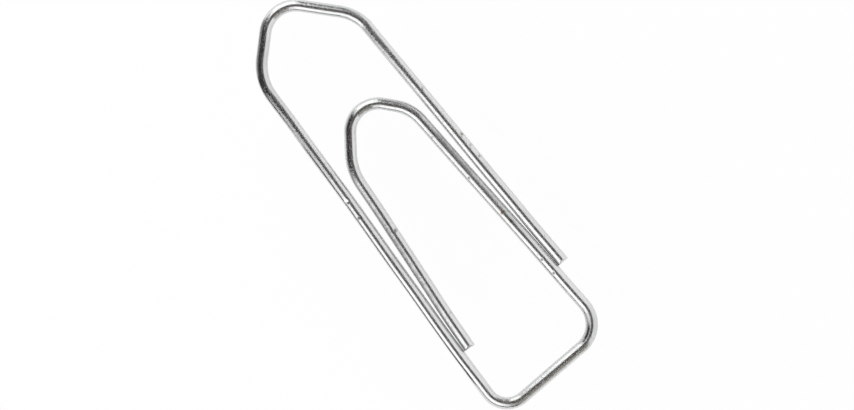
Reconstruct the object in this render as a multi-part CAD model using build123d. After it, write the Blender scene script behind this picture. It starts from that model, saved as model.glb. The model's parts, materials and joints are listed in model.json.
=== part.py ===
from build123d import *
import os
from math import cos, radians, sin, tan

# Pointed paper clip: one length of plated steel wire, bent flat into an outer loop
# and an inner loop that share a square heel.
# X runs from the heel to the pointed nose, Y runs across the loops and Z is up.
# The clip lies on Z = 0, and the origin is under the middle of its outline.
# Lengths are in millimetres and angles in degrees. A reach is measured along X from
# the heel's centreline to a corner, and a corner is where two straight runs would
# meet if the bend between them were sharp.

# Wire
wire_diameter = 0.85
rest_gap = 0.02  # between a cut end and the leg that it rests beside
rollover_length = 0.16  # how far along the wire the shear blade bevels a cut end
rollover_depth = 0.18

# Heel
heel_width = 9.30  # between its two corners
heel_outer_radius = 1.65
heel_inner_radius = 2.10

# Outer loop
outer_leg_lean = 4.75  # degrees towards the inner loop, from square to the heel
outer_shoulder_reach = 28.80
outer_shoulder_radius = 3.80
outer_nose_rise = 4.15  # from between the shoulders to the apex
outer_apex_radius = 2.15
outer_free_shoulder_drop = 1.05  # below the other shoulder, along X
outer_free_shoulder_gap = 0.68  # to the line of the inner loop's long leg
outer_free_shoulder_radius = 3.30
outer_free_end_reach = 5.32

# Inner loop
inner_leg_lean = 0.80  # degrees away from the outer free leg
inner_shoulder_reach = 20.35
inner_shoulder_radius = 3.00
inner_nose_rise = 3.55
inner_apex_shift = 0.20  # towards the long leg, from midway between the shoulders
inner_apex_radius = 2.00
inner_free_shoulder_drop = 0.40
inner_free_shoulder_gap = 0.58  # to the outer loop's long leg
inner_free_shoulder_radius = 4.25
inner_free_end_reach = 5.10

bend_share = 0.48  # the most of a straight run that one bend may use up

wire_radius = wire_diameter / 2


def leg_point(heel_corner, lean, reach):
    """Point on the centreline of a long leg that leaves heel_corner at that lean."""
    return Vector(reach, heel_corner.Y + reach * tan(radians(lean)))


def beside_leg(heel_corner, lean, reach, gap):
    """Centreline point of a wire that runs beside a long leg, gap away on its -Y side."""
    square_to_leg = Vector(sin(radians(lean)), -cos(radians(lean)))
    return leg_point(heel_corner, lean, reach) + square_to_leg * (wire_diameter + gap)


def nose_apex(shoulder, free_shoulder, rise, shift=0.0):
    """Corner of a pointed nose, rise above the middle of its two shoulders."""
    return (shoulder + free_shoulder) / 2 + Vector(rise, -shift)


def outer_corners():
    """Corners of the outer loop, from its cut end to the heel."""
    heel_outer = Vector(0, heel_width)
    heel_inner = Vector(0, 0)
    free_shoulder_reach = outer_shoulder_reach - outer_free_shoulder_drop
    cut_end = beside_leg(heel_inner, inner_leg_lean, outer_free_end_reach, rest_gap)
    free_shoulder = beside_leg(
        heel_inner, inner_leg_lean, free_shoulder_reach, outer_free_shoulder_gap
    )
    shoulder = leg_point(heel_outer, -outer_leg_lean, outer_shoulder_reach)
    apex = nose_apex(shoulder, free_shoulder, outer_nose_rise)
    return [cut_end, free_shoulder, apex, shoulder, heel_outer]


def inner_corners():
    """Corners of the inner loop, from the heel to its cut end."""
    heel_outer = Vector(0, heel_width)
    heel_inner = Vector(0, 0)
    free_shoulder_reach = inner_shoulder_reach - inner_free_shoulder_drop
    shoulder = leg_point(heel_inner, inner_leg_lean, inner_shoulder_reach)
    free_shoulder = beside_leg(
        heel_outer, -outer_leg_lean, free_shoulder_reach, inner_free_shoulder_gap
    )
    apex = nose_apex(shoulder, free_shoulder, inner_nose_rise, inner_apex_shift)
    cut_end = beside_leg(heel_outer, -outer_leg_lean, inner_free_end_reach, rest_gap)
    return [heel_inner, shoulder, apex, free_shoulder, cut_end]


def bend(before, corner, after, radius):
    """Arc that rounds a corner, as large as the two runs leave room for up to radius."""
    inward = (corner - before).normalized()
    outward = (after - corner).normalized()
    half_turn = tan(radians(inward.get_angle(outward) / 2))
    shorter_run = min((corner - before).length, (after - corner).length)
    cut_back = min(radius * half_turn, bend_share * shorter_run)
    return TangentArc(corner - inward * cut_back, corner + outward * cut_back, tangent=inward)


def wire_route(corners, radii):
    """Edges of the whole centreline in order: a straight run, a bend, a run and so on."""
    bends = [
        bend(before, corner, after, radius)
        for before, corner, after, radius in zip(corners, corners[1:], corners[2:], radii)
    ]
    starts = [corners[0]] + [arc @ 1 for arc in bends]
    ends = [arc @ 0 for arc in bends] + [corners[-1]]
    runs = [Line(start, end) for start, end in zip(starts, ends)]
    route = [runs[0]]
    for arc, run in zip(bends, runs[1:]):
        route += [arc, run]
    return route


def round_wire(edges):
    """The wire along some edges of the route, as one solid."""
    path = Wire([edge.edge() for edge in edges])
    section = Plane(path @ 0, z_dir=path % 0) * Circle(wire_radius)
    return sweep(section, path=path)


def rollover(cut_end, along):
    """Wedge that a shear blade takes off the top of a cut end, along pointing into the wire."""
    side_view = Plane(cut_end, x_dir=along, z_dir=along.cross(Vector(0, 0, 1)))
    low = (-rollover_length, wire_radius - 2 * rollover_depth)
    high = (2 * rollover_length, wire_radius + rollover_depth)
    corner = (-rollover_length, wire_radius + rollover_depth)
    outline = make_face(Polyline(low, high, corner, close=True))
    return extrude(side_view * outline, amount=wire_diameter, both=True)


def cut_leg(run, cut_end):
    """A straight leg whose far end was sheared off."""
    other_end = run @ 1 if (run @ 0 - cut_end).length < wire_radius else run @ 0
    return round_wire([run]) - rollover(cut_end, (other_end - cut_end).normalized())


def build_clip():
    """Every named stretch of the wire, in place round the heel's own corner."""
    corners = outer_corners() + inner_corners()
    radii = [
        outer_free_shoulder_radius,
        outer_apex_radius,
        outer_shoulder_radius,
        heel_outer_radius,
        heel_inner_radius,
        inner_shoulder_radius,
        inner_apex_radius,
        inner_free_shoulder_radius,
    ]
    route = wire_route(corners, radii)
    outer_free_leg, outer_nose, outer_long_leg = route[0], route[1:6], route[6]
    heel_outer_bend, heel_bar, heel_inner_bend = route[7:10]
    inner_long_leg, inner_nose, inner_free_leg = route[10], route[11:16], route[16]
    bar_middle = heel_bar @ 0.5
    return {
        "outer_free_leg": cut_leg(outer_free_leg, corners[0]),
        "outer_nose": round_wire(outer_nose),
        "outer_long_leg": round_wire([outer_long_leg]),
        "heel_outer_half": round_wire([heel_outer_bend, Line(heel_bar @ 0, bar_middle)]),
        "heel_inner_half": round_wire([Line(bar_middle, heel_bar @ 1), heel_inner_bend]),
        "inner_long_leg": round_wire([inner_long_leg]),
        "inner_nose": round_wire(inner_nose),
        "inner_free_leg": cut_leg(inner_free_leg, corners[-1]),
    }


def to_origin(stretches):
    """Move that puts the middle of the outline over the origin and the wire on Z = 0."""
    box = Compound(list(stretches.values())).bounding_box()
    return Pos(-box.center().X, -box.center().Y, wire_radius)


def main():
    os.makedirs("parts", exist_ok=True)
    stretches = build_clip()
    place = to_origin(stretches)
    for name, solid in stretches.items():
        export_step(place * solid, f"parts/{name}.step")


main()
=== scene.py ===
"""Dresses a pointed paper clip: its bright plated wire, the white table under it and studio light.

Sizes in the classes are in millimetres and degrees, and become metres where meshes are made.
Along means along the wire from the outer cut end. Around means round the wire from its top,
towards the inside of the loops.
"""

import json
import logging
import math
from dataclasses import dataclass, field
from enum import Enum, IntEnum
from typing import Any

import bpy
import numpy as np
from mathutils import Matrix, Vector

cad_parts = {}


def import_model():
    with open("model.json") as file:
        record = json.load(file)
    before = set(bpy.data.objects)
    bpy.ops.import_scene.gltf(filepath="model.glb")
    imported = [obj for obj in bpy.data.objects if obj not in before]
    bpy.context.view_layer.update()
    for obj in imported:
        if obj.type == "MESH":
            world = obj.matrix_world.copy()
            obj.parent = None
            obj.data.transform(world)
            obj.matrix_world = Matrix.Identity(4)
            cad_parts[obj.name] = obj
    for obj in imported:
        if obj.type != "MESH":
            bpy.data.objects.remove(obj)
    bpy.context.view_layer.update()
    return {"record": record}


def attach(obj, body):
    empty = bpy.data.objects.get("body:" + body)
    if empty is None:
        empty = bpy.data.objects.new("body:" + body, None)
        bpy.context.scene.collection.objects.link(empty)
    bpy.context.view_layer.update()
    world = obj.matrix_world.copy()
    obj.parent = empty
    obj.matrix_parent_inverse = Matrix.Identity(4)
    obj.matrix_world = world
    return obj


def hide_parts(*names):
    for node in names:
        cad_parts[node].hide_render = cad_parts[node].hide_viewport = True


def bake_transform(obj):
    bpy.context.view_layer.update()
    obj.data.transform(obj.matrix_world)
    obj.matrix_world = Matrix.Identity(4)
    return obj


Socket = bpy.types.NodeSocket
Sockets = bpy.types.NodeOutputs
Tone = tuple[float, float, float]

MM = 0.001
UP = (0.0, 0.0, 1.0)
FULL_CIRCLE = 360.0
WHITE = (1.0, 1.0, 1.0)

# Names of the values that are kept on points.
ALONG = "along"
CENTRE = "centre"
HEADING = "heading"
GRAIN = "grain"
NICKED = "nicked"
RUSTED = "rusted"
WEAR_AND_REFLECTION = "wear_and_reflection"
CREVICE_SHADE = "crevice_shade"
DIRECTION = "direction"

# Sockets that share their names with others, by number.
TRIM_START = 4
TRIM_END = 5
MIX_FIRST = 6
MIX_SECOND = 7
MIX_RESULT = 2

log = logging.getLogger("paper_clip")


class Body(Enum):
    """The two bodies that the clip flexes between."""

    OUTER = "outer_loop"
    INNER = "inner_loop"


class Corner(IntEnum):
    """Corners of the wire's route, counted from the outer cut end."""

    OUTER_END = 0
    OUTER_FREE_SHOULDER = 1
    OUTER_APEX = 2
    OUTER_SHOULDER = 3
    HEEL_OUTER = 4
    HEEL_INNER = 5
    INNER_SHOULDER = 6
    INNER_APEX = 7
    INNER_FREE_SHOULDER = 8
    INNER_END = 9


def grey(level: float) -> Tone:
    """A tone without a tint."""
    return (level, level, level)


def add_object(name: str, data: bpy.types.ID) -> bpy.types.Object:
    """Put a new object into the scene.

    Args:
        name: Name of the object.
        data: Its mesh, curve, lamp or camera.

    Returns:
        The object, at the origin.
    """
    made = bpy.data.objects.new(name, data)
    bpy.context.scene.collection.objects.link(made)
    return made


class NodeSheet:
    """A node tree that is written one node at a time."""

    def __init__(self, tree: bpy.types.NodeTree) -> None:
        """Start on an empty tree.

        Args:
            tree: The tree to fill. Nodes that it already holds are removed.
        """
        self.tree = tree
        tree.nodes.clear()

    def add(self, kind: str, inputs: dict[Any, Any] | None = None, **settings: Any) -> bpy.types.Node:
        """Add a node, set it up and wire its inputs.

        Args:
            kind: Blender's name of the node type.
            inputs: Input name or index to a value, or to the output socket that feeds it.
            **settings: Properties of the node itself.

        Returns:
            The new node.
        """
        node = self.tree.nodes.new(kind)
        for name, value in settings.items():
            setattr(node, name, value)
        for key, value in (inputs or {}).items():
            socket = node.inputs[key]
            if isinstance(value, Socket):
                self.tree.links.new(value, socket)
            else:
                socket.default_value = value
        return node

    def math(self, operation: str, *values: Any) -> Socket:
        """Add a Math node and return its result."""
        node = self.add("ShaderNodeMath", dict(enumerate(values)), operation=operation)
        return node.outputs[0]

    def vector(self, operation: str, *values: Any) -> Socket:
        """Add a Vector Math node and return its result, a number for a dot product."""
        node = self.add("ShaderNodeVectorMath", dict(enumerate(values)), operation=operation)
        return node.outputs["Value" if operation == "DOT_PRODUCT" else "Vector"]

    def scaled(self, vector: Any, factor: Any) -> Socket:
        """Multiply a vector by a number and return the result."""
        node = self.add("ShaderNodeVectorMath", {0: vector, "Scale": factor}, operation="SCALE")
        return node.outputs["Vector"]

    def combined(self, x: Any, y: Any, z: Any) -> Socket:
        """Make a vector of three numbers and return it."""
        return self.add("ShaderNodeCombineXYZ", {"X": x, "Y": y, "Z": z}).outputs[0]

    def separated(self, vector: Any) -> Sockets:
        """Take a vector apart and return its three numbers."""
        return self.add("ShaderNodeSeparateXYZ", {"Vector": vector}).outputs

    def ramp(self, value: Any, low: float, high: float, to_low: Any, to_high: Any) -> Socket:
        """Map a value smoothly from one range to another.

        Args:
            value: The socket to map.
            low: Where the ramp starts.
            high: Where the ramp ends.
            to_low: Result at the start and before it.
            to_high: Result at the end and after it.

        Returns:
            The mapped socket.
        """
        node = self.add(
            "ShaderNodeMapRange",
            {"Value": value, "From Min": low, "From Max": high, "To Min": to_low, "To Max": to_high},
            interpolation_type="SMOOTHSTEP",
        )
        return node.outputs["Result"]

    def mix(self, factor: Any, first: Any, second: Any) -> Socket:
        """Mix two colours.

        Args:
            factor: Share of the second colour.
            first: A socket or a tone.
            second: A socket or a tone.

        Returns:
            The mixed colour.
        """
        inputs = {"Factor": factor}
        for number, colour in ((MIX_FIRST, first), (MIX_SECOND, second)):
            inputs[number] = (*colour, 1.0) if isinstance(colour, tuple) else colour
        return self.add("ShaderNodeMix", inputs, data_type="RGBA").outputs[MIX_RESULT]

    def attribute(self, name: str, output: str = "Fac") -> Socket:
        """Read a value that a mesh keeps on its points."""
        return self.add("ShaderNodeAttribute", attribute_name=name).outputs[output]

    @classmethod
    def of_material(cls, name: str) -> tuple[bpy.types.Material, "NodeSheet"]:
        """Make a node material.

        Args:
            name: Name of the material.

        Returns:
            The material and the sheet that fills its tree.
        """
        material = bpy.data.materials.new(name)
        material.use_nodes = True
        return material, cls(material.node_tree)


@dataclass(frozen=True)
class WireRoute:
    """The wire's centreline, as corners that are joined by straight runs and rounded by bends.

    Corners are measured from the heel's inner corner: X to the nose, Y to the outer long leg.
    """

    wire_diameter: float = 0.85
    rest_gap: float = 0.02
    heel_width: float = 9.30
    heel_outer_radius: float = 1.65
    heel_inner_radius: float = 2.10
    outer_leg_lean: float = 4.75
    outer_shoulder_reach: float = 28.80
    outer_shoulder_radius: float = 3.80
    outer_nose_rise: float = 4.15
    outer_apex_radius: float = 2.15
    outer_free_shoulder_drop: float = 1.05
    outer_free_shoulder_gap: float = 0.68
    outer_free_shoulder_radius: float = 3.30
    outer_free_end_reach: float = 5.32
    inner_leg_lean: float = 0.80
    inner_shoulder_reach: float = 20.35
    inner_shoulder_radius: float = 3.00
    inner_nose_rise: float = 3.55
    inner_apex_shift: float = 0.20
    inner_apex_radius: float = 2.00
    inner_free_shoulder_drop: float = 0.40
    inner_free_shoulder_gap: float = 0.58
    inner_free_shoulder_radius: float = 4.25
    inner_free_end_reach: float = 5.10

    def radius(self) -> float:
        """Radius of the wire."""
        return self.wire_diameter / 2

    def outer_leg_point(self, reach: float) -> Vector:
        """Point of the outer long leg's centreline, reach away from the heel."""
        return Vector((reach, self.heel_width - reach * math.tan(math.radians(self.outer_leg_lean))))

    def inner_leg_point(self, reach: float) -> Vector:
        """Point of the inner long leg's centreline, reach away from the heel."""
        return Vector((reach, reach * math.tan(math.radians(self.inner_leg_lean))))

    def beside(self, point: Vector, lean: float, gap: float) -> Vector:
        """Centreline point of the wire that lies gap away from a leg, on its -Y side."""
        square_to_leg = Vector((math.sin(math.radians(lean)), -math.cos(math.radians(lean))))
        return point + square_to_leg * (self.wire_diameter + gap)

    def corners(self) -> list[Vector]:
        """Work out the corners of the route.

        Returns:
            One point for each Corner, in its order.
        """
        outer_shoulder = self.outer_leg_point(self.outer_shoulder_reach)
        outer_free_reach = self.outer_shoulder_reach - self.outer_free_shoulder_drop
        outer_free_shoulder = self.beside(
            self.inner_leg_point(outer_free_reach), self.inner_leg_lean, self.outer_free_shoulder_gap
        )
        outer_apex = (outer_shoulder + outer_free_shoulder) / 2 + Vector((self.outer_nose_rise, 0))
        outer_end = self.beside(
            self.inner_leg_point(self.outer_free_end_reach), self.inner_leg_lean, self.rest_gap
        )
        inner_shoulder = self.inner_leg_point(self.inner_shoulder_reach)
        inner_free_reach = self.inner_shoulder_reach - self.inner_free_shoulder_drop
        inner_free_shoulder = self.beside(
            self.outer_leg_point(inner_free_reach), -self.outer_leg_lean, self.inner_free_shoulder_gap
        )
        inner_apex = (inner_shoulder + inner_free_shoulder) / 2
        inner_apex += Vector((self.inner_nose_rise, -self.inner_apex_shift))
        inner_end = self.beside(
            self.outer_leg_point(self.inner_free_end_reach), -self.outer_leg_lean, self.rest_gap
        )
        return [
            outer_end, outer_free_shoulder, outer_apex, outer_shoulder, Vector((0, self.heel_width)),
            Vector((0, 0)), inner_shoulder, inner_apex, inner_free_shoulder, inner_end,
        ]

    def radii(self) -> list[float]:
        """Bend radius at each corner, and 0 at the two ends."""
        return [
            0.0, self.outer_free_shoulder_radius, self.outer_apex_radius, self.outer_shoulder_radius,
            self.heel_outer_radius, self.heel_inner_radius, self.inner_shoulder_radius,
            self.inner_apex_radius, self.inner_free_shoulder_radius, 0.0,
        ]

    def turn(self, corner: int) -> float:
        """Find how far the wire turns at a corner.

        Args:
            corner: A corner of the route.

        Returns:
            The angle in radians, or 0 at an end.
        """
        if corner in (Corner.OUTER_END, Corner.INNER_END):
            return 0.0
        corners = self.corners()
        before = corners[corner] - corners[corner - 1]
        after = corners[corner + 1] - corners[corner]
        return before.angle(after)

    def cut_back(self, corner: int) -> float:
        """Length of straight run that the bend at a corner takes up on either side."""
        return self.radii()[corner] * math.tan(self.turn(corner) / 2)

    def bend_span(self, corner: int) -> tuple[float, float]:
        """Find where a bend lies along the wire.

        Args:
            corner: The bend's corner.

        Returns:
            Where the bend starts and ends.
        """
        corners = self.corners()
        start = 0.0
        end = 0.0
        for number in range(1, corner + 1):
            run = (corners[number] - corners[number - 1]).length
            start = end + run - self.cut_back(number - 1) - self.cut_back(number)
            end = start + self.turn(number) * self.radii()[number]
        return start, end

    def length(self) -> float:
        """Length of the whole wire."""
        return self.bend_span(Corner.INNER_END)[1]

    def run_span(self, corner: int) -> tuple[float, float]:
        """Where the run after a corner starts and ends along the wire, with the bends at its ends."""
        return self.bend_span(corner)[0], self.bend_span(corner + 1)[1]


@dataclass(frozen=True)
class Nick:
    """A small dent that a forming tool or another clip left in the wire, darkened with the nick tone."""

    along: float
    around: float
    depth: float = 0.024
    length: float = 0.11
    width: float = 0.15
    rust: float = 0.0
    # Share of the nick tone painted into the dent.
    darkening: float = 1.0


@dataclass(frozen=True)
class WearAndReflectionBand:
    """A dull, darker band of plating: wear from paper and the forming tools, and painted reflection of the
    outer free leg on the inner long leg's outer flank.
    """

    start: float
    end: float
    strength: float
    around: float = 0.0
    spread: float = 90.0


@dataclass(frozen=True)
class Bow:
    """A slight curve of a leg that ought to be straight, towards the inside of the loops."""

    start: float
    end: float
    rise: float


@dataclass(frozen=True)
class Lean:
    """How far the section, pressed slightly oval by the forming tools, leans to the inside at a place."""

    along: float
    angle: float


@dataclass(frozen=True)
class PlatedFinish:
    """Bright plating on drawn wire: fine lines, mottling, dull flecks, darkened nicks, rust, dull bands
    that are partly painted reflection, and painted shade between close legs.
    """

    name: str = "bright_plating"
    bright_tone: Tone = (0.735, 0.75, 0.745)
    dull_tone: Tone = (0.272, 0.292, 0.286)
    nick_tone: Tone = (0.24, 0.23, 0.21)
    # Painted shade: the tone that darkens the flanks where two legs lie close together.
    crevice_shade_tone: Tone = (0.24, 0.245, 0.205)
    rust_tone: Tone = (0.36, 0.20, 0.11)
    smooth_roughness: float = 0.085
    dull_roughness: float = 0.46
    noise_detail: float = 3.0
    line_pitch: float = 0.05
    line_run: float = 6.0
    line_height: float = 0.0006
    mottle_size: float = 0.22
    mottle_limits: tuple[float, float] = (0.3, 0.7)
    mottle_height: float = 0.0045
    least_wear_and_reflection: float = 0.6
    least_crevice_shade: float = 0.75
    patch_run: float = 2.64
    patch_width: float = 0.88
    patch_limits: tuple[float, float] = (0.45, 0.75)
    patch_dullness: float = 0.12
    fleck_size: float = 0.09
    fleck_limits: tuple[float, float] = (0.52, 0.68)
    fleck_dullness: float = 0.55
    fleck_height: float = 0.003

    def noise(self, sheet: NodeSheet, wire_radius: float, along: float, around: float) -> Socket:
        """Add noise on the wire's own surface.

        Args:
            sheet: The material's tree.
            wire_radius: Radius of the wire.
            along: Size of the pattern along the wire.
            around: Size of the pattern round the wire.

        Returns:
            Noise from 0 to 1.
        """
        grain = sheet.attribute(GRAIN, "Vector")
        density = (1 / along, wire_radius / around, wire_radius / around)
        place = sheet.vector("MULTIPLY", grain, density)
        inputs = {"Vector": place, "Scale": 1.0, "Detail": self.noise_detail}
        return sheet.add("ShaderNodeTexNoise", inputs).outputs["Fac"]

    def relief(self, sheet: NodeSheet, wire_radius: float, mottle: Socket, flecks: Socket) -> Socket:
        """Add the fine relief of the plating.

        Args:
            sheet: The material's tree.
            wire_radius: Radius of the wire.
            mottle: Noise that the plating is pitted by.
            flecks: Where the plating is flecked.

        Returns:
            The bumped normal.
        """
        lines = self.noise(sheet, wire_radius, self.line_run, self.line_pitch)
        height = sheet.math("MULTIPLY", mottle, self.mottle_height * MM)
        height = sheet.math("MULTIPLY_ADD", lines, self.line_height * MM, height)
        height = sheet.math("MULTIPLY_ADD", flecks, -self.fleck_height * MM, height)
        return sheet.add("ShaderNodeBump", {"Height": height, "Distance": 1.0}).outputs["Normal"]

    def build(self, wire_radius: float) -> bpy.types.Material:
        """Make the material.

        Args:
            wire_radius: Radius of the wire, for patterns that are as long as they are wide.

        Returns:
            The plating's node material.
        """
        material, sheet = NodeSheet.of_material(self.name)
        mottle = self.noise(sheet, wire_radius, self.mottle_size, self.mottle_size)
        patches = self.noise(sheet, wire_radius, self.patch_run, self.patch_width)
        flecks = self.noise(sheet, wire_radius, self.fleck_size, self.fleck_size)
        flecks = sheet.ramp(flecks, *self.fleck_limits, 0.0, 1.0)
        nicked = sheet.attribute(NICKED)

        wear_and_reflection_share = sheet.ramp(mottle, *self.mottle_limits, self.least_wear_and_reflection, 1.0)
        # Dull bands: wear, and painted reflection on the inner long leg's outer flank.
        worn_and_reflected = sheet.math("MULTIPLY", sheet.attribute(WEAR_AND_REFLECTION), wear_and_reflection_share)
        patchy = sheet.ramp(patches, *self.patch_limits, 0.0, self.patch_dullness)
        dullness = sheet.add("ShaderNodeClamp", {"Value": sheet.math("ADD", patchy, worn_and_reflected)}).outputs[0]
        # Painted shade in the crevices between close legs, uneven with the mottling.
        crevice_shade_mottling = sheet.ramp(mottle, *self.mottle_limits, self.least_crevice_shade, 1.0)
        crevice_shaded = sheet.math("MULTIPLY", sheet.attribute(CREVICE_SHADE), crevice_shade_mottling)

        tone = sheet.mix(dullness, self.bright_tone, self.dull_tone)
        tone = sheet.mix(crevice_shaded, tone, self.crevice_shade_tone)
        tone = sheet.mix(nicked, tone, self.nick_tone)
        tone = sheet.mix(sheet.attribute(RUSTED), tone, self.rust_tone)

        roughness = sheet.math("MULTIPLY", flecks, self.fleck_dullness)
        for share in (dullness, crevice_shaded, nicked):
            roughness = sheet.math("MAXIMUM", roughness, share)
        roughness = sheet.ramp(roughness, 0.0, 1.0, self.smooth_roughness, self.dull_roughness)

        shader = sheet.add(
            "ShaderNodeBsdfPrincipled",
            {
                "Base Color": tone,
                "Metallic": 1.0,
                "Roughness": roughness,
                "Normal": self.relief(sheet, wire_radius, mottle, flecks),
            },
        )
        sheet.add("ShaderNodeOutputMaterial", {"Surface": shader.outputs["BSDF"]})
        return material


@dataclass
class FormedWire:
    """The geometry tree that forms a stretch of wire along the route, with its cut ends."""

    route: WireRoute
    ring_spacing: float = 0.05
    sides: int = 56
    bend_steps: int = 72
    out_of_round: float = 0.006
    wander: float = 7.0
    wander_scale: float = 1.2
    wander_detail: float = 1.0
    noise_middle: float = 0.5
    seed: float = 4.0
    rollover_length: float = 0.16
    rollover_depth: float = 0.18
    rollover_rounding: float = 0.3
    crease_angle: float = 50.0
    tree: bpy.types.NodeTree = field(init=False)

    def __post_init__(self) -> None:
        """Build the tree once, for every stretch."""
        self.tree = bpy.data.node_groups.new("formed_wire", "GeometryNodeTree")
        sheet = NodeSheet(self.tree)
        inputs = {
            "NodeSocketGeometry": ("Route",),
            "NodeSocketFloat": (
                "Wire Radius", "Start", "End", "Route Length", "Ring Spacing", "Out Of Round", "Wander",
                "Seed", "Rollover Length", "Rollover Depth",
            ),
            "NodeSocketInt": ("Sides", "Bend Steps"),
            "NodeSocketMaterial": ("Finish",),
        }
        for kind, names in inputs.items():
            for name in names:
                self.tree.interface.new_socket(name, in_out="INPUT", socket_type=kind)
        self.tree.interface.new_socket("Wire", in_out="OUTPUT", socket_type="NodeSocketGeometry")
        given = sheet.add("NodeGroupInput").outputs
        centreline = self.bend_centreline(sheet, given)
        tube = self.sweep_tube(sheet, given, centreline)
        formed = self.shape_surface(sheet, given, tube)
        real = sheet.add("GeometryNodeRealizeInstances", {"Geometry": formed})
        finished = sheet.add(
            "GeometryNodeSetMaterial", {"Geometry": real.outputs[0], "Material": given["Finish"]}
        )
        sheet.add("NodeGroupOutput", {"Wire": finished.outputs[0]})

    def bend_centreline(self, sheet: NodeSheet, given: Sockets) -> Socket:
        """Round the route's corners, cut out the stretch and keep its place along the wire.

        Args:
            sheet: The tree to add to.
            given: The tree's inputs.

        Returns:
            The stretch's centreline.
        """
        bend_radius = sheet.add("GeometryNodeInputRadius").outputs[0]
        bent = sheet.add(
            "GeometryNodeFilletCurve",
            {"Curve": given["Route"], "Count": given["Bend Steps"], "Radius": bend_radius},
            mode="POLY",
        )
        cut = sheet.add(
            "GeometryNodeTrimCurve",
            {"Curve": bent.outputs[0], TRIM_START: given["Start"], TRIM_END: given["End"]},
            mode="LENGTH",
        )
        spaced = sheet.add(
            "GeometryNodeResampleCurve",
            {"Curve": cut.outputs[0], "Length": given["Ring Spacing"]},
            mode="LENGTH",
        )
        level = sheet.add("GeometryNodeSetCurveNormal", {"Curve": spaced.outputs[0]}, mode="Z_UP")
        length_so_far = sheet.add("GeometryNodeSplineParameter").outputs["Length"]
        along = sheet.math("ADD", length_so_far, given["Start"])
        kept = self.store(sheet, level.outputs[0], ALONG, along, "FLOAT")
        kept = self.store(sheet, kept, CENTRE, sheet.add("GeometryNodeInputPosition").outputs[0])
        return self.store(sheet, kept, HEADING, sheet.add("GeometryNodeInputTangent").outputs[0])

    def sweep_tube(self, sheet: NodeSheet, given: Sockets, centreline: Socket) -> Socket:
        """Sweep the round section along the centreline and close its ends.

        Args:
            sheet: The tree to add to.
            given: The tree's inputs.
            centreline: The stretch's centreline.

        Returns:
            The closed tube.
        """
        section = sheet.add(
            "GeometryNodeCurvePrimitiveCircle",
            {"Resolution": given["Sides"], "Radius": given["Wire Radius"]},
        )
        tube = sheet.add(
            "GeometryNodeCurveToMesh",
            {"Curve": centreline, "Profile Curve": section.outputs[0], "Scale": 1.0, "Fill Caps": True},
        )
        return tube.outputs[0]

    def shape_surface(self, sheet: NodeSheet, given: Sockets, tube: Socket) -> Socket:
        """Make the section a little out of round, roll the cut ends over and shade the tube.

        Args:
            sheet: The tree to add to.
            given: The tree's inputs.
            tube: The closed tube.

        Returns:
            The shaped tube, with each point's place on the wire's surface.
        """
        along = self.read(sheet, ALONG, "FLOAT")
        position = sheet.add("GeometryNodeInputPosition").outputs[0]
        outward = sheet.vector("SUBTRACT", position, self.read(sheet, CENTRE))
        outward = sheet.vector("NORMALIZE", outward)
        inside = sheet.vector("CROSS_PRODUCT", UP, self.read(sheet, HEADING))
        sine = sheet.vector("DOT_PRODUCT", outward, inside)
        cosine = sheet.vector("DOT_PRODUCT", outward, UP)
        grain = sheet.combined(sheet.math("DIVIDE", along, MM), sine, cosine)
        tube = self.store(sheet, tube, GRAIN, grain)

        drift = sheet.combined(sheet.math("DIVIDE", along, given["Wander"]), sine, cosine)
        noise = sheet.add(
            "ShaderNodeTexNoise",
            {"Vector": drift, "W": given["Seed"], "Scale": self.wander_scale, "Detail": self.wander_detail},
            noise_dimensions="4D",
        ).outputs["Fac"]
        uneven = sheet.math("SUBTRACT", noise, self.noise_middle)
        swell = sheet.math("MULTIPLY", uneven, given["Out Of Round"])
        swollen = sheet.add(
            "GeometryNodeSetPosition", {"Geometry": tube, "Offset": sheet.scaled(outward, swell)}
        )
        return self.shade(sheet, self.roll_ends(sheet, given, swollen.outputs[0]))

    def roll_ends(self, sheet: NodeSheet, given: Sockets, tube: Socket) -> Socket:
        """Roll the top of both cut ends over, as a shear blade does.

        Args:
            sheet: The tree to add to.
            given: The tree's inputs.
            tube: The tube to roll over.

        Returns:
            The tube with its ends rolled over.
        """
        along = self.read(sheet, ALONG, "FLOAT")
        from_end = sheet.math("MINIMUM", along, sheet.math("SUBTRACT", given["Route Length"], along))
        slope = sheet.math("DIVIDE", given["Rollover Depth"], given["Rollover Length"])
        top = sheet.math("MULTIPLY", given["Wire Radius"], 2.0)
        end_top = sheet.math("SUBTRACT", top, given["Rollover Depth"])
        bevel = sheet.math("MULTIPLY_ADD", slope, from_end, end_top)
        x, y, z = sheet.separated(sheet.add("GeometryNodeInputPosition").outputs[0])
        rounding = sheet.math("MULTIPLY", given["Rollover Length"], self.rollover_rounding)
        height = sheet.math("SMOOTH_MIN", z, bevel, rounding)
        lowered = sheet.combined(x, y, height)
        return sheet.add("GeometryNodeSetPosition", {"Geometry": tube, "Position": lowered}).outputs[0]

    def shade(self, sheet: NodeSheet, tube: Socket) -> Socket:
        """Shade the tube smooth, and its cut ends sharp.

        Args:
            sheet: The tree to add to.
            tube: The tube to shade.

        Returns:
            The shaded tube.
        """
        smooth = sheet.add(
            "GeometryNodeSetShadeSmooth", {"Geometry": tube, "Shade Smooth": True}, domain="FACE"
        )
        angle = sheet.add("GeometryNodeInputMeshEdgeAngle").outputs["Unsigned Angle"]
        crease = sheet.math("GREATER_THAN", angle, math.radians(self.crease_angle))
        creased = sheet.add(
            "GeometryNodeSetShadeSmooth",
            {"Geometry": smooth.outputs[0], "Selection": crease, "Shade Smooth": False},
            domain="EDGE",
        )
        return creased.outputs[0]

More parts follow.
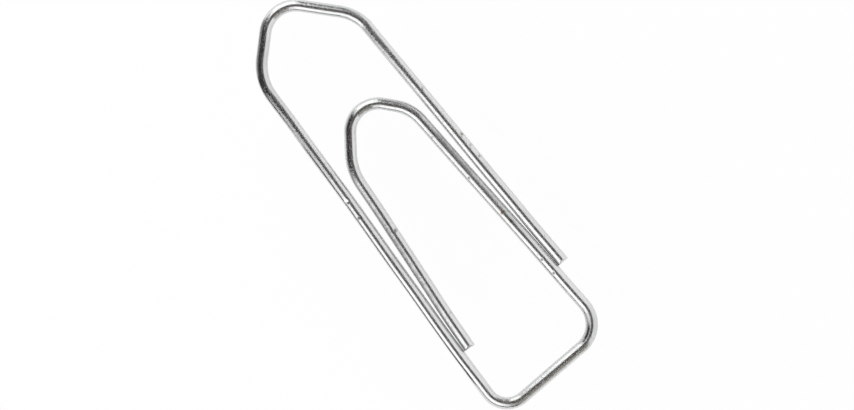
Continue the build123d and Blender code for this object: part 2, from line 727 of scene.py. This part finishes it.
    def store(
        self, sheet: NodeSheet, geometry: Any, name: str, value: Any, kind: str = "FLOAT_VECTOR"
    ) -> Socket:
        """Keep a value on every point under a name and return the geometry."""
        inputs = {"Geometry": geometry, "Name": name, "Value": value}
        return sheet.add("GeometryNodeStoreNamedAttribute", inputs, data_type=kind).outputs[0]

    def read(self, sheet: NodeSheet, name: str, kind: str = "FLOAT_VECTOR") -> Socket:
        """Read back a value that was kept under a name."""
        return sheet.add("GeometryNodeInputNamedAttribute", {"Name": name}, data_type=kind).outputs[0]

    def mesh(
        self, name: str, curve: bpy.types.Curve, span: tuple[float, float], finish: bpy.types.Material
    ) -> bpy.types.Mesh:
        """Form one stretch of wire as a plain mesh.

        Args:
            name: Name of the mesh.
            curve: The route's corners as a curve, with each bend's radius as the point's radius.
            span: Where the stretch starts and ends along the wire.
            finish: The wire's material.

        Returns:
            The finished mesh.
        """
        carrier = add_object(f"{name}_carrier", curve)
        modifier = carrier.modifiers.new("formed_wire", "NODES")
        modifier.node_group = self.tree
        values = {
            "Wire Radius": self.route.radius() * MM,
            "Start": span[0] * MM,
            "End": span[1] * MM,
            "Route Length": self.route.length() * MM,
            "Ring Spacing": self.ring_spacing * MM,
            "Sides": self.sides,
            "Bend Steps": self.bend_steps,
            "Out Of Round": self.out_of_round * MM,
            "Wander": self.wander * MM,
            "Seed": self.seed,
            "Rollover Length": self.rollover_length * MM,
            "Rollover Depth": self.rollover_depth * MM,
            "Finish": finish,
        }
        sockets = {item.name: item.identifier for item in self.tree.interface.items_tree}
        for label, value in values.items():
            modifier[sockets[label]] = value
        evaluated = carrier.evaluated_get(bpy.context.evaluated_depsgraph_get())
        made = bpy.data.meshes.new_from_object(evaluated)
        made.name = name
        carrier.modifiers.remove(modifier)
        bpy.data.objects.remove(carrier)
        return made


@dataclass
class ClipWire:
    """The whole clip: one wire, dressed as its outer loop, its heel and its inner loop."""

    heel_middle: Vector
    route: WireRoute = field(default_factory=WireRoute)
    finish: PlatedFinish = field(default_factory=PlatedFinish)
    nicks: tuple[Nick, ...] = (
        Nick(9.4, -40, width=0.13),
        Nick(10.4, -38, length=0.13, width=0.17, darkening=0.6),
        Nick(11.35, -42, length=0.16, width=0.2),
        Nick(15.6, -35, depth=0.012, darkening=0.5),
        Nick(43.34, -24, depth=0.03, length=0.2, width=0.2, darkening=0.0),
        Nick(44.7, -21, length=0.14, width=0.2),
        Nick(74.4, 24, depth=0.034, length=0.13, width=0.2),
        Nick(75.65, 24, depth=0.034, width=0.2),
        Nick(76.1, 22, depth=0.012, darkening=0.5),
        Nick(79.92, 8, width=0.22, rust=1.0),
        Nick(79.05, 2, depth=0.006, rust=0.7, darkening=0.3),
        Nick(83.27, 30),
        Nick(87.1, 38, depth=0.012, darkening=0.5),
        Nick(102.15, -31, depth=0.016, darkening=0.5),
        Nick(102.6, 29, depth=0.03, length=0.16, width=0.26),
        Nick(109.5, 48, depth=0.012, darkening=0.5),
    )
    # Bands from 75.5 to 91.5 mm are painted reflection: they darken the inner long leg's outer flank, where
    # the outer free leg lies beside it. The other bands are dull plating.
    wear_and_reflection_bands: tuple[WearAndReflectionBand, ...] = (
        WearAndReflectionBand(22.0, 26.5, 0.18),
        WearAndReflectionBand(28.5, 37.0, 0.14),
        WearAndReflectionBand(35.5, 43.0, 0.35, -32, 32),
        WearAndReflectionBand(68.0, 71.5, 0.28),
        WearAndReflectionBand(75.5, 91.5, 0.72, -10, 30),
        WearAndReflectionBand(81.5, 89.0, 1.0, -20, 24),
        WearAndReflectionBand(96.5, 113.0, 0.8, -34, 30),
    )
    bows: tuple[Bow, ...] = (
        Bow(0.0, 6.0, 0.02),
        Bow(0.5, 15.0, 0.03),
        Bow(20.0, 24.0, -0.02),
        Bow(31.0, 37.0, -0.045),
        Bow(37.5, 49.5, 0.05),
        Bow(50.0, 60.5, -0.045),
        Bow(72.0, 85.0, -0.035),
        Bow(90.5, 96.5, -0.03),
        Bow(98.0, 103.0, 0.018),
        Bow(101.5, 110.0, -0.025),
        Bow(103.5, 116.0, -0.05),
        Bow(106.5, 112.0, -0.022),
    )
    leans: tuple[Lean, ...] = (
        Lean(1.5, -3.5),
        Lean(8.0, -2.0),
        Lean(18.0, -2.0),
        Lean(21.6, -3.2),
        Lean(23.4, -1.2),
        Lean(27.5, -1.5),
        Lean(30.5, 2.5),
        Lean(33.5, 1.0),
        Lean(37.0, 5.5),
        Lean(40.0, 4.0),
        Lean(44.5, -4.5),
        Lean(57.0, -5.0),
        Lean(60.3, 6.0),
        Lean(64.5, -2.5),
        Lean(69.5, -6.0),
        Lean(72.5, -2.0),
        Lean(80.0, 1.0),
        Lean(85.0, -3.0),
        Lean(93.5, 2.5),
        Lean(96.2, 6.0),
        Lean(100.0, 2.0),
        Lean(105.0, 6.5),
        Lean(111.0, 3.0),
    )
    leg_starts: tuple[Corner, ...] = (
        Corner.OUTER_END, Corner.OUTER_SHOULDER, Corner.HEEL_INNER, Corner.INNER_FREE_SHOULDER,
    )
    leg_end_margin: float = 0.001
    # How close another leg comes before painted shade darkens the wire.
    crevice_shade_reach: float = 0.14
    dent_sharpness: float = 2.0
    band_fade: float = 1.5

    def bar_ends(self) -> tuple[Vector, Vector]:
        """Ends of the straight heel bar, outer end first."""
        outer = self.route.heel_width - self.route.cut_back(Corner.HEEL_OUTER)
        return Vector((0, outer, 0)), Vector((0, self.route.cut_back(Corner.HEEL_INNER), 0))

    def shift(self) -> Vector:
        """Move from the heel's inner corner to the frame, which puts the bar on the flexing axis."""
        outer, inner = self.bar_ends()
        return self.heel_middle / MM - (outer + inner) / 2

    def curve(self) -> bpy.types.Curve:
        """Draw the route's corners as a curve.

        Returns:
            The curve in the frame, with each bend's radius on its point.
        """
        curve = bpy.data.curves.new("clip_route", "CURVE")
        curve.dimensions = "3D"
        spline = curve.splines.new("POLY")
        corners = self.route.corners()
        spline.points.add(len(corners) - 1)
        shift = self.shift()
        for point, corner, radius in zip(spline.points, corners, self.route.radii()):
            place = (corner.to_3d() + shift) * MM
            point.co = (*place, 1.0)
            point.radius = radius * MM
        return curve

    def crevice_shading(self, place: np.ndarray, along: np.ndarray) -> np.ndarray:
        """Find where the wire lies so close to another leg that painted shade darkens the crevice between
        them.

        Args:
            place: Points of the wire's surface, in metres.
            along: Their places along the wire.

        Returns:
            From 0, clear of every other leg, to 1, touching one.
        """
        corners = [corner.to_3d() + self.shift() for corner in self.route.corners()]
        gap = np.full(len(place), self.crevice_shade_reach)
        for number in self.leg_starts:
            start, end = np.array(corners[number]), np.array(corners[number + 1])
            offset = place / MM - start
            share = offset @ (end - start) / np.dot(end - start, end - start)
            offset -= np.clip(share, 0, 1)[:, None] * (end - start)
            clear = np.linalg.norm(offset, axis=1) - self.route.radius()
            first, last = self.route.run_span(number)
            same_leg = (along >= first - self.leg_end_margin) & (along <= last + self.leg_end_margin)
            gap = np.minimum(gap, np.where(same_leg, self.crevice_shade_reach, clear))
        return np.clip(1 - gap / self.crevice_shade_reach, 0, 1)

    def dents(self, along: np.ndarray, around: np.ndarray) -> tuple[np.ndarray, np.ndarray, np.ndarray]:
        """Find where the wire is nicked.

        Args:
            along: Places along the wire.
            around: Places round the wire, in radians.

        Returns:
            How deep the nicks are, and how darkened and how rusty from 0 to 1.
        """
        depth, nicked, rusted = np.zeros((3, len(along)))
        for nick in self.nicks:
            lengthwise = (along - nick.along) / nick.length
            across = (around - math.radians(nick.around)) * self.route.radius() / nick.width
            dent = np.exp(-self.dent_sharpness * (lengthwise**2 + across**2))
            depth += dent * nick.depth
            nicked = np.maximum(nicked, dent * nick.darkening)
            rusted = np.maximum(rusted, dent * nick.rust)
        return depth, nicked, rusted

    def wear_and_reflection_share(self, along: np.ndarray, around: np.ndarray) -> np.ndarray:
        """Find where the plating is rubbed dull.

        Args:
            Find where the plating is dull: wear, and painted reflection on the inner long leg's outer
                flank.
            around: Places round the wire, in radians.

        Returns:
            From 0, bright, to 1, dull.
        """
        wear_and_reflection = np.zeros(len(along))
        for band in self.wear_and_reflection_bands:
            middle, half = (band.start + band.end) / 2, (band.end - band.start) / 2
            band_share = np.clip(self.band_fade * (1 - np.abs(along - middle) / half), 0, 1)
            across = (around - math.radians(band.around)) / math.radians(band.spread)
            wear_and_reflection = np.maximum(wear_and_reflection, band_share * np.exp(-(across**2)) * band.strength)
        return wear_and_reflection

    def bowing(self, along: np.ndarray) -> np.ndarray:
        """Find how far the legs bow.

        Args:
            along: Places along the wire.

        Returns:
            Millimetres to the inside of the loops.
        """
        bowed = np.zeros(len(along))
        for bow in self.bows:
            share = np.clip((along - bow.start) / (bow.end - bow.start), 0, 1)
            bowed += bow.rise * np.sin(math.pi * share) ** 2
        return bowed

    def oval(self, along: np.ndarray, around: np.ndarray) -> np.ndarray:
        """How far the oval section stands out from a round one, in millimetres."""
        lean = np.interp(along, [spot.along for spot in self.leans], [spot.angle for spot in self.leans])
        return np.radians(lean) / 2 * self.route.radius() * np.sin(2 * around)

    def press(self, mesh: bpy.types.Mesh) -> None:
        """Bow the legs of a stretch, press the nicks in, and mark its darkened nicks, rust, dull bands that
        are partly painted reflection, and painted shade between close legs.

        Args:
            mesh: A stretch that was just formed.
        """
        place = self.vectors(mesh.vertices, "co")
        grain = self.vectors(mesh.attributes[GRAIN].data, "vector")
        outward = place - self.vectors(mesh.attributes[CENTRE].data, "vector")
        outward /= np.linalg.norm(outward, axis=1, keepdims=True)
        inside = np.cross(UP, self.vectors(mesh.attributes[HEADING].data, "vector"))
        along = grain[:, 0]
        around = np.arctan2(grain[:, 1], grain[:, 2])
        depth, nicked, rusted = self.dents(along, around)
        sideways = inside * self.bowing(along)[:, None]
        place += (sideways + outward * (self.oval(along, around) - depth)[:, None]) * MM
        mesh.vertices.foreach_set("co", place.ravel())
        marks = {
            NICKED: nicked,
            RUSTED: rusted,
            WEAR_AND_REFLECTION: self.wear_and_reflection_share(along, around),
            # Painted shade between close legs.
            CREVICE_SHADE: self.crevice_shading(place, along),
        }
        for name, values in marks.items():
            mark = mesh.attributes.new(name, "FLOAT", "POINT")
            mark.data.foreach_set("value", values.astype(np.float32))
        for name in (ALONG, CENTRE, HEADING):
            mesh.attributes.remove(mesh.attributes[name])
        mesh.update()

    def vectors(self, data: bpy.types.bpy_prop_collection, name: str) -> np.ndarray:
        """Read a vector of every point of a mesh.

        Args:
            data: The mesh's points or the values of an attribute.
            name: Name of the property to read.

        Returns:
            One row for each point.
        """
        values = np.zeros(len(data) * 3, np.float32)
        data.foreach_get(name, values)
        return values.reshape(-1, 3)

    def build(self) -> None:
        """Form the three stretches and dress them, and hang the outer and inner stretches on their bodies.
        """
        finish = self.finish.build(self.route.radius())
        former = FormedWire(self.route)
        curve = self.curve()
        heel_start, _ = self.route.bend_span(Corner.HEEL_OUTER)
        _, heel_end = self.route.bend_span(Corner.HEEL_INNER)
        outer = self.piece(former, curve, "outer_wire", (0.0, heel_start), finish)
        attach(outer, Body.OUTER.value)
        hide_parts("outer_free_leg", "outer_nose", "outer_long_leg")
        heel = self.piece(former, curve, "heel_wire", (heel_start, heel_end), finish)
        start, end = ((bar_end + self.shift()) * MM for bar_end in self.bar_ends())
        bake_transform(heel)
        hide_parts("heel_outer_half", "heel_inner_half")
        inner = self.piece(former, curve, "inner_wire", (heel_end, self.route.length()), finish)
        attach(inner, Body.INNER.value)
        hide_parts("inner_long_leg", "inner_nose", "inner_free_leg")
        bpy.data.curves.remove(curve)

    def piece(
        self,
        former: FormedWire,
        curve: bpy.types.Curve,
        name: str,
        span: tuple[float, float],
        finish: bpy.types.Material,
    ) -> bpy.types.Object:
        """Form one stretch of wire as an object of its own.

        Args:
            former: The tree that forms the wire.
            curve: The route's corners.
            name: Name of the piece.
            span: Where it starts and ends along the wire.
            finish: The wire's material.

        Returns:
            The piece, in place.
        """
        mesh = former.mesh(name, curve, span, finish)
        self.press(mesh)
        made = add_object(name, mesh)
        log.info("%s: %.2f mm of wire, %d vertices", name, span[1] - span[0], len(mesh.vertices))
        return made


@dataclass(frozen=True)
class Softbox:
    """A soft lamp that faces the clip, placed by where it is in the picture."""

    name: str
    bearing: float
    zenith: float
    width: float
    height: float
    distance: float = 100.0
    radiance: float = 0.5
    tint: Tone = (1.0, 0.985, 0.965)


@dataclass(frozen=True)
class Card:
    """A card that the wire mirrors, placed by the directions that it takes up."""

    name: str
    bearings: tuple[float, float]
    zeniths: tuple[float, float]
    high_tone: Tone
    low_tone: Tone
    distance: float = 130.0
    soft: float = 8.0
    shades: bool = True
    steps: int = 16

    def tone(self, sheet: NodeSheet) -> Socket:
        """Add the card's colour.

        Args:
            sheet: The card's tree.

        Returns:
            The high tone, which goes over into the low one down the card.
        """
        place = sheet.add("ShaderNodeTexCoord").outputs["Object"]
        height = sheet.separated(place)["Z"]
        high, low = (self.distance * MM * math.cos(math.radians(zenith)) for zenith in self.zeniths)
        fall = sheet.ramp(height, low, high, 0.0, 1.0)
        return sheet.mix(fall, self.low_tone, self.high_tone)

    def density(self, sheet: NodeSheet) -> Socket:
        """Add how dense the card is, which thins out to nothing at its edges.

        Args:
            sheet: The card's tree.

        Returns:
            From 0 at its edges to 1 further in.
        """
        bearing, zenith, _ = sheet.separated(sheet.attribute(DIRECTION, "Vector"))
        low, high = self.zeniths
        share = sheet.ramp(zenith, high - self.soft, high, 1.0, 0.0)
        if low > 0:
            share = sheet.math("MULTIPLY", share, sheet.ramp(zenith, low, low + self.soft, 0.0, 1.0))
        first, last = self.bearings
        if last - first < FULL_CIRCLE:
            share = sheet.math("MULTIPLY", share, sheet.ramp(bearing, first, first + self.soft, 0.0, 1.0))
            share = sheet.math("MULTIPLY", share, sheet.ramp(bearing, last - self.soft, last, 1.0, 0.0))
        return share

    def material(self) -> bpy.types.Material:
        """Make the card's matt material.

        Returns:
            A node material that is clear at the card's edges.
        """
        material, sheet = NodeSheet.of_material(self.name)
        matt = sheet.add("ShaderNodeBsdfDiffuse", {"Color": self.tone(sheet)})
        clear = sheet.add("ShaderNodeBsdfTransparent")
        shaders = {0: self.density(sheet), 1: clear.outputs[0], 2: matt.outputs[0]}
        surface = sheet.add("ShaderNodeMixShader", shaders)
        sheet.add("ShaderNodeOutputMaterial", {"Surface": surface.outputs[0]})
        return material


@dataclass
class Studio:
    """Table, white tent, lamps, grey cards and the camera that looks straight down.

    Bearings are directions in the picture, anticlockwise from its right. Zeniths are angles
    from straight up.
    """

    picture_width: float = 59.53
    picture_middle: tuple[float, float] = (-1.25, -0.20)
    picture_turn: float = -130.68
    camera_height: float = 320.0
    nearest_seen: float = 3.2
    furthest_seen: float = 6400.0
    sensor: float = 36.0
    table_size: float = 1600.0
    table_drop: float = 3.8
    table_tone: Tone = grey(0.82)
    table_glow: float = 0.93
    mirrored_glow: float = 0.25
    tent_light: float = 1.45
    softboxes: tuple[Softbox, ...] = (
        Softbox("upper_softbox", 114, 54, 66, 95),
        Softbox("lower_softbox", 239, 58, 78, 104),
    )
    cards: tuple[Card, ...] = (
        Card(
            "left_card", (130, 206), (16, 90), (0.055, 0.051, 0.053), (0.04, 0.037, 0.039),
            distance=45, soft=17, shades=False,
        ),
        # The four low cards below are thin dark strips at the horizon, seen only in the wire's gloss and
        # casting no shade: painted reflection of the shade on the table close beside the wire.
        Card(
            "nose_low_card", (134, 162), (83, 99), grey(0.3), grey(0.3),
            distance=22, soft=3, shades=False,
        ),
        Card(
            "shoulder_low_card", (158, 190), (80, 101), grey(0.04), grey(0.04),
            distance=22, soft=3, shades=False,
        ),
        Card(
            "low_card", (186, 262), (80, 104), grey(0.04), grey(0.04),
            distance=18, soft=3, shades=False,
        ),
        Card(
            "heel_low_card", (231, 300), (74, 88), grey(0.03), grey(0.03),
            distance=40, soft=3, shades=False,
        ),
        Card("right_upper_card", (45, 70), (6, 64), grey(0.04), (0.42, 0.43, 0.43)),
        Card("upper_card", (60, 85), (6, 86), grey(0.38), (0.64, 0.65, 0.65)),
        Card("left_upper_card", (74, 99), (6, 86), (0.17, 0.168, 0.165), (0.26, 0.26, 0.258)),
        Card("lower_card", (276, 328), (10, 90), (0.225, 0.21, 0.2), (0.59, 0.57, 0.53)),
        Card("lens_card", (0, FULL_CIRCLE), (0, 26.5), (0.15, 0.137, 0.13), (0.15, 0.137, 0.13), soft=4),
    )

    def middle(self) -> Vector:
        """The point that the camera looks straight down on, level with the clip's underside."""
        return Vector((*self.picture_middle, 0)) * MM

    def toward(self, bearing: float, zenith: float) -> Vector:
        """Find the direction from the clip to a place in the studio.

        Args:
            bearing: Bearing of the place.
            zenith: Zenith of the place.

        Returns:
            A direction of length 1 in the frame.
        """
        turn, tilt = math.radians(self.picture_turn + bearing), math.radians(zenith)
        level = Vector((math.cos(turn), math.sin(turn), 0))
        return level * math.sin(tilt) + Vector((0, 0, math.cos(tilt)))

    def build(self) -> None:
        """Set up everything around the clip."""
        bpy.context.scene.view_settings.view_transform = "Standard"
        self.build_camera()
        self.build_table()
        self.build_tent()
        for softbox in self.softboxes:
            self.build_softbox(softbox)
        for card in self.cards:
            self.build_card(card)
        log.info("studio: %d softboxes, %d cards", len(self.softboxes), len(self.cards))

    def build_camera(self) -> None:
        """Hang the camera over the clip, turned as the picture is."""
        data = bpy.data.cameras.new("camera")
        data.sensor_width = self.sensor
        data.lens = self.sensor * self.camera_height / self.picture_width
        data.clip_start = self.nearest_seen * MM
        data.clip_end = self.furthest_seen * MM
        camera = add_object("camera", data)
        camera.location = self.middle() + Vector((0, 0, self.camera_height * MM))
        camera.rotation_euler = (0, 0, math.radians(self.picture_turn))
        bpy.context.scene.camera = camera

    def shown(self, sheet: NodeSheet, seen: float, mirrored: float) -> Socket:
        """Add a share that depends on the ray.

        Args:
            sheet: The tree to add it to.
            seen: Share for a ray from the camera.
            mirrored: Share for a ray off gloss or through glass.

        Returns:
            The share, which is 0 for other rays.
        """
        path = sheet.add("ShaderNodeLightPath").outputs
        other = sheet.math("MAXIMUM", path["Is Glossy Ray"], path["Is Transmission Ray"])
        share = sheet.math("MULTIPLY", other, mirrored)
        return sheet.math("MAXIMUM", sheet.math("MULTIPLY", path["Is Camera Ray"], seen), share)

    def build_table(self) -> None:
        """Lay the white table, low enough for the inner loop to flex down, to take the shadow."""
        half = self.table_size / 2 * MM
        top = -self.table_drop * MM
        mesh = bpy.data.meshes.new("table")
        corners = [(-half, -half, top), (half, -half, top), (half, half, top), (-half, half, top)]
        mesh.from_pydata(corners, [], [(0, 1, 2, 3)])
        material, sheet = NodeSheet.of_material("white_table")
        matt = sheet.add("ShaderNodeBsdfDiffuse", {"Color": (*self.table_tone, 1)})
        white = sheet.add("ShaderNodeEmission", {"Color": (*WHITE, 1), "Strength": 1.0})
        share = self.shown(sheet, self.table_glow, self.mirrored_glow)
        surface = sheet.add("ShaderNodeMixShader", {0: share, 1: matt.outputs[0], 2: white.outputs[0]})
        sheet.add("ShaderNodeOutputMaterial", {"Surface": surface.outputs[0]})
        mesh.materials.append(material)
        table = add_object("table", mesh)

    def build_tent(self) -> None:
        """Close a white tent round the table. Its light makes up for what the cards take away."""
        world = bpy.data.worlds.new("tent")
        world.use_nodes = True
        bpy.context.scene.world = world
        sheet = NodeSheet(world.node_tree)
        strength = sheet.ramp(self.shown(sheet, 1.0, 1.0), 0.0, 1.0, self.tent_light, 1.0)
        tent = sheet.add("ShaderNodeBackground", {"Color": (*WHITE, 1), "Strength": strength})
        sheet.add("ShaderNodeOutputWorld", {"Surface": tent.outputs[0]})

    def build_softbox(self, softbox: Softbox) -> None:
        """Hang one soft lamp and turn it to the clip.

        Args:
            softbox: The lamp to make.
        """
        toward = self.toward(softbox.bearing, softbox.zenith)
        data = bpy.data.lights.new(softbox.name, "AREA")
        data.shape = "RECTANGLE"
        data.size = softbox.width * MM
        data.size_y = softbox.height * MM
        data.energy = softbox.radiance * math.pi * data.size * data.size_y
        data.color = softbox.tint
        lamp = add_object(softbox.name, data)
        lamp.location = self.middle() + toward * softbox.distance * MM
        lamp.rotation_mode = "QUATERNION"
        lamp.rotation_quaternion = (-toward).to_track_quat("-Z", "Y")
        lamp.visible_camera = False

    def build_card(self, card: Card) -> None:
        """Stand one card round the clip, out of the camera's sight.

        Args:
            card: The card to make.
        """
        points = []
        directions = []
        for zenith in np.linspace(*card.zeniths, card.steps + 1):
            for bearing in np.linspace(*card.bearings, card.steps + 1):
                points.append(self.middle() + self.toward(bearing, zenith) * card.distance * MM)
                directions.extend((bearing, zenith, 0.0))
        row = card.steps + 1
        faces = []
        for across in range(card.steps):
            for down in range(card.steps):
                first = down * row + across
                faces.append((first, first + 1, first + row + 1, first + row))
        mesh = bpy.data.meshes.new(card.name)
        mesh.from_pydata(points, [], faces)
        mesh.attributes.new(DIRECTION, "FLOAT_VECTOR", "POINT").data.foreach_set("vector", directions)
        mesh.materials.append(card.material())
        made = add_object(card.name, mesh)
        made.visible_camera = False
        made.visible_diffuse = card.shades
        made.visible_shadow = card.shades


def main() -> None:
    """Load the frame, dress the clip and light it."""
    logging.basicConfig(level=logging.INFO, format="%(name)s %(message)s")
    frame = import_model()
    flex = frame["record"]["behaviour"]["joints"][0]
    ClipWire(Vector(flex["pos_m"])).build()
    Studio().build()


if __name__ == "__main__":
    main()
